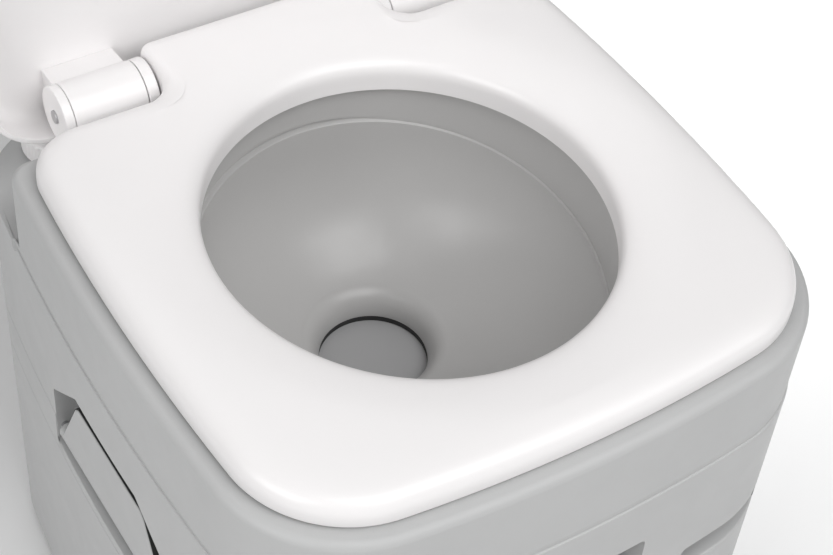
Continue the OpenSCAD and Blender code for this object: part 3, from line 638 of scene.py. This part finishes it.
def merge_flat(bm):
    bmesh.ops.dissolve_limit(bm, angle_limit=math.radians(1), verts=bm.verts, edges=bm.edges)
    bmesh.ops.recalc_face_normals(bm, faces=bm.faces)


def pair_up(bm):
    bmesh.ops.join_triangles(bm, faces=bm.faces, angle_face_threshold=math.radians(1),
                             angle_shape_threshold=math.radians(180))


def refined(node, width, angle=34):
    obj = bpy.data.objects.new(node + "_skin", frame["nodes"][node].data.copy())
    obj.data.materials.clear()
    scene.collection.objects.link(obj)
    edit(obj, lambda bm: bmesh.ops.remove_doubles(bm, verts=bm.verts, dist=1e-6))
    plain, area = obj.data.copy(), area_of(obj.data)
    for tidy in (merge_flat, pair_up):                     # pair_up where a merged face would bridge a hole
        obj.data = plain.copy()
        edit(obj, tidy)
        if width:
            soften(obj, width, angle=angle)
        if abs(area_of(obj.data) / area - 1) < 0.12:
            break
    return smooth(obj, 40)


# ---- Materials ----

def material(name, color, rough, grain=0.0, grain_size=0.5, mottle=0.02, spread=0.06, **inputs):
    """A procedural surface: colour mottle, uneven gloss, fine grain and faint rubbed marks."""
    mat = bpy.data.materials.new(name)
    mat.use_nodes = True
    nodes, links = mat.node_tree.nodes, mat.node_tree.links
    shader = nodes["Principled BSDF"]
    where = nodes.new("ShaderNodeTexCoord").outputs["Object"]

    def noise(scale, detail, rough_=0.55, distortion=0.0):
        node = nodes.new("ShaderNodeTexNoise")
        node.inputs["Scale"].default_value = scale
        node.inputs["Detail"].default_value = detail
        node.inputs["Roughness"].default_value = rough_
        node.inputs["Distortion"].default_value = distortion
        links.new(where, node.inputs["Vector"])
        return node.outputs["Fac"]

    def ranged(value, lo, hi, to_lo, to_hi):
        node = nodes.new("ShaderNodeMapRange")
        for key, v in zip(("From Min", "From Max", "To Min", "To Max"), (lo, hi, to_lo, to_hi)):
            node.inputs[key].default_value = v
        links.new(value, node.inputs["Value"])
        return node.outputs["Result"]

    def times(a, b):
        node = nodes.new("ShaderNodeMath")
        node.operation = "MULTIPLY"
        links.new(a, node.inputs[0])
        links.new(b, node.inputs[1])
        return node.outputs[0]

    cloud = noise(9, 4)
    speck = noise(1000 / grain_size, 2)
    scuffs = noise(38, 5, 0.6, 0.3)
    tone = times(ranged(cloud, 0.3, 0.7, 1 - mottle, 1 + mottle),
                 ranged(speck, 0.3, 0.7, 1 - mottle * 0.8, 1 + mottle * 0.8))
    mix = nodes.new("ShaderNodeVectorMath")
    mix.operation = "SCALE"
    mix.inputs[0].default_value = color
    links.new(tone, mix.inputs["Scale"])
    links.new(mix.outputs[0], shader.inputs["Base Color"])
    uneven = ranged(scuffs, 0.35, 0.7, rough - spread, rough + spread)
    links.new(uneven, shader.inputs["Roughness"])
    if grain:
        bump = nodes.new("ShaderNodeBump")
        bump.inputs["Strength"].default_value = 0.6
        bump.inputs["Distance"].default_value = grain * 0.001
        links.new(speck, bump.inputs["Height"])
        links.new(bump.outputs["Normal"], shader.inputs["Normal"])
    for key, value in inputs.items():
        shader.inputs[key.replace("_", " ")].default_value = value
    return mat


def finish(slot, color, rough, **look):
    return slot, material(slot, color, rough, **look)


MATERIALS = dict([
    finish("body_plastic", (0.505, 0.508, 0.508), 0.50, grain=0.035, grain_size=0.55, mottle=0.018),
    finish("bowl_plastic", (0.498, 0.493, 0.488), 0.34, grain=0.006, grain_size=0.8, mottle=0.012),
    finish("white_plastic", (0.885, 0.868, 0.868), 0.30, grain=0.006, grain_size=0.7, mottle=0.006,
           spread=0.015),
    finish("blade_plastic", (0.42, 0.42, 0.425), 0.36, grain=0.008, mottle=0.015),
    finish("valve_plastic", (0.30, 0.30, 0.31), 0.46, grain=0.02, mottle=0.02),
    finish("dark_plastic", (0.022, 0.022, 0.024), 0.42, grain=0.03, mottle=0.05),
    finish("red_plastic", (0.55, 0.02, 0.015), 0.32, grain=0.008, mottle=0.02),
    finish("clear_plastic", (0.90, 0.95, 0.96), 0.08, grain=0.004, mottle=0.004, spread=0.03,
           Transmission_Weight=0.85, IOR=1.49),
    finish("black_rubber", (0.028, 0.028, 0.028), 0.68, grain=0.05, grain_size=0.4, mottle=0.06),
    finish("steel", (0.58, 0.58, 0.59), 0.28, grain=0.01, grain_size=0.25, mottle=0.02, Metallic=1.0),
])


def finish_piece(obj, node):
    obj.data.materials.clear()
    obj.data.materials.append(MATERIALS[slot_of[node]])
    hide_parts(node)
    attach(obj, body_of[node])


PUMP_SPRING_Z, VENT_SPRING_Z = (290, 339), (226, 234)
made = {
    "upper_shell": make_upper_shell, "tank_tub": make_tank_tub, "tank_top": make_tank_top, "bowl": make_bowl,
    "seat": make_seat, "lid": make_lid, "filler_cap": make_filler_cap, "spout_cap": make_spout_cap,
    "pump_knob": make_pump_knob,
    "pump_spring": lambda: coil("pump_spring_skin", PUMP, 9.75, 1.2, *PUMP_SPRING_Z, 7),
    "vent_spring": lambda: coil("vent_spring_skin", VENT, 6.5, 0.8, *VENT_SPRING_Z, 3.5),
}
# Width of the rounding on each node's edges, in millimetres; 0.25 for the nodes that aren't here
edge_widths = {
    "tank_feet": 1.2, "valve_housing": 0.6, "valve_cover": 0.4, "valve_seal": 0.3, "pull_grip": 1.5,
    "spout_neck": 0.4, "spout": 0.0, "carry_handle": 0.8, "latch_left": 0.7, "latch_right": 0.7,
    "base_plate": 0.6, "hinge_brackets": 0.7, "lid_hinges": 0.8, "seat_hinges": 0.8, "seat_buffers": 1.0,
    "lid_buffers": 1.0, "pump_body": 0.5, "latch_keepers": 0.5, "valve_blade": 0.5, "flush_hose": 0.0,
    "water_gauge": 0.4, "float_ball": 1.5,
}
for node in frame["nodes"]:
    obj = made[node]() if node in made else refined(node, edge_widths.get(node, 0.25))
    finish_piece(obj, node)
    if node == "pump_spring":
        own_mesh(obj)
    if node == "vent_spring":
        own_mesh(obj)

# A black rubber strip round each latch lever's plate: painted shade that stands in for the deep shadow in the
# gap round the lever
lever_line = mirrored(((-80.4, 211.6), (-65.7, 242.7), (-56.1, 262.9), (-51.7, 266.9)))
for side, name in ((1, "right"), (-1, "left")):
    gap_shade = smooth(prism(lever_line, side * 177.3, side * 180.4))
    gap_shade.name = f"latch_{name}_edging"
    gap_shade.data.materials.append(MATERIALS["black_rubber"])
    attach(gap_shade, f"{name}_lever")


# ---- Floor, light and camera ----

def make_floor():
    half, z = 6000, -0.4
    corners = [(-half, -half, z), (half, -half, z), (half, half, z), (-half, half, z)]
    floor = mesh_object("floor", corners, [(0, 1, 2, 3)])
    floor.data.materials.append(material("floor_paper", (0.93, 0.93, 0.93), 0.9, mottle=0.002, grain_size=3))


def aimed_light(name, kind, at, target, power):
    light = bpy.data.lights.new(name, kind)
    light.energy = power
    obj = bpy.data.objects.new(name, light)
    scene.collection.objects.link(obj)
    obj.location = at
    obj.rotation_euler = (Vector(target) - Vector(at)).to_track_quat("-Z", "Y").to_euler()
    return light


def softbox(name, at, target, side, power):
    light = aimed_light(name, "AREA", at, target, power)
    light.shape = "RECTANGLE"
    light.size = light.size_y = side


make_floor()
world = bpy.data.worlds.new("studio")
scene.world = world
world.use_nodes = True
world.node_tree.nodes["Background"].inputs["Color"].default_value = (1, 1, 1, 1)
world.node_tree.nodes["Background"].inputs["Strength"].default_value = 0.149
softbox("overhead", (0.2, -1.3, 2.3), (0, 0, 0.4), 1.8, 35.5)
softbox("left", (-2.0, -0.6, 1.5), (0, 0, 0.3), 1.5, 24.4)
softbox("front", (0.2, -2.6, 1.1), (0, 0, 0.3), 1.8, 1.05)
softbox("front_right", (1.7, -1.9, 1.6), (0, 0, 0.3), 1.5, 10.5)
softbox("rear", (0.3, 1.5, 2.2), (0, 0, 0.4), 1.8, 7.85)
# A spot that whitens the floor behind the body and misses the body
spot = aimed_light("floor_spot", "SPOT", (0.85, 0.4, 1.2), (0.6, 0.24, 0), 38)
spot.spot_size, spot.spot_blend, spot.shadow_soft_size = math.radians(52), 1.0, 0.15

camera = bpy.data.objects.new("camera", bpy.data.cameras.new("camera"))
scene.collection.objects.link(camera)
camera.data.lens = 81.577
camera.data.sensor_width = 36
camera.data.clip_start, camera.data.clip_end = 0.05, 50
forward = Vector((0.4027, 0.5546, -0.7282)).normalized()
right = Vector((0.8489, -0.5238, 0.0705)).normalized()
axes = Matrix((right, right.cross(forward), -forward)).transposed()
camera.matrix_world = Matrix.Translation((-0.4216, -0.6146, 1.1066)) @ axes.to_4x4()
scene.camera = camera
scene.view_settings.view_transform = "Standard"
